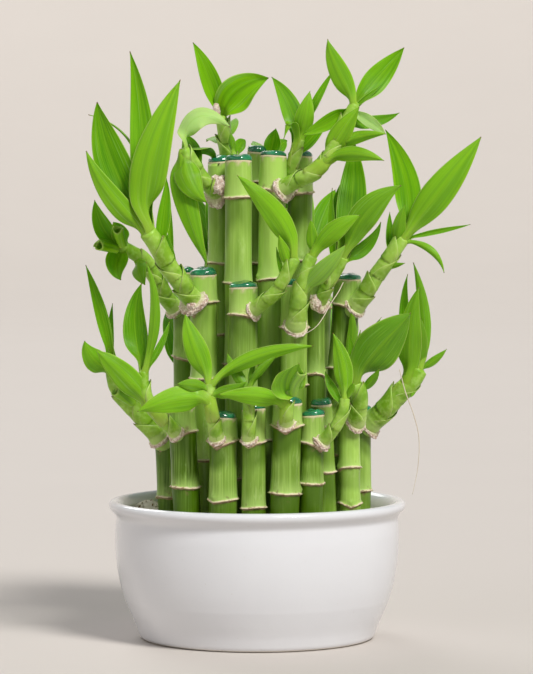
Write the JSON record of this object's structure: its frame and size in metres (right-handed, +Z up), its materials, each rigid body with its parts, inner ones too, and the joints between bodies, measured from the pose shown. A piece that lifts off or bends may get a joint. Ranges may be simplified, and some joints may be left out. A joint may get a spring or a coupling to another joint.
{
  "type": "lucky bamboo plant",
  "caption": "Three-tier lucky bamboo: upright cut canes with leafy side shoots, standing in a pale growing bed in a round glazed pot with a rolled rim.",
  "frame": {"origin": "centre of the pot's flat underside", "axes": "+Z up along the pot's axis and the canes; +X to the viewer's right and -Y towards the viewer, from the front, where the tiers read short, middle, tall"},
  "size_m": [0.1645, 0.1442, 0.2501],
  "materials": {
    "pot_glaze": "gloss",
    "growing_medium": "matte",
    "cane": "satin",
    "leaf": "satin"
  },
  "bodies": {
    "root": {"growing_bed": "growing_medium", "middle_cane_1": "cane", "middle_cane_2": "cane", "middle_cane_3": "cane", "middle_cane_4": "cane", "middle_cane_5": "cane", "middle_cane_6": "cane", "middle_cane_7": "cane", "middle_cane_8": "cane", "middle_cane_9": "cane", "middle_shoot_1": "leaf", "middle_shoot_2": "leaf", "middle_shoot_3": "leaf", "middle_shoot_4": "leaf", "middle_shoot_5": "leaf", "middle_shoot_6": "leaf", "middle_shoot_7": "leaf", "middle_shoot_8": "leaf", "middle_shoot_9": "leaf", "pot": "pot_glaze", "short_cane_1": "cane", "short_cane_10": "cane", "short_cane_11": "cane", "short_cane_12": "cane", "short_cane_13": "cane", "short_cane_14": "cane", "short_cane_2": "cane", "short_cane_3": "cane", "short_cane_4": "cane", "short_cane_5": "cane", "short_cane_6": "cane", "short_cane_7": "cane", "short_cane_8": "cane", "short_cane_9": "cane", "short_shoot_1": "leaf", "short_shoot_10": "leaf", "short_shoot_11": "leaf", "short_shoot_12": "leaf", "short_shoot_13": "leaf", "short_shoot_14": "leaf", "short_shoot_2": "leaf", "short_shoot_3": "leaf", "short_shoot_4": "leaf", "short_shoot_5": "leaf", "short_shoot_6": "leaf", "short_shoot_7": "leaf", "short_shoot_8": "leaf", "short_shoot_9": "leaf", "tall_cane_1": "cane", "tall_cane_2": "cane", "tall_cane_3": "cane", "tall_cane_4": "cane", "tall_cane_5": "cane", "tall_cane_6": "cane", "tall_shoot_1": "leaf", "tall_shoot_2": "leaf", "tall_shoot_3": "leaf", "tall_shoot_4": "leaf", "tall_shoot_5": "leaf", "tall_shoot_6": "leaf"}
  },
  "joints": []
}
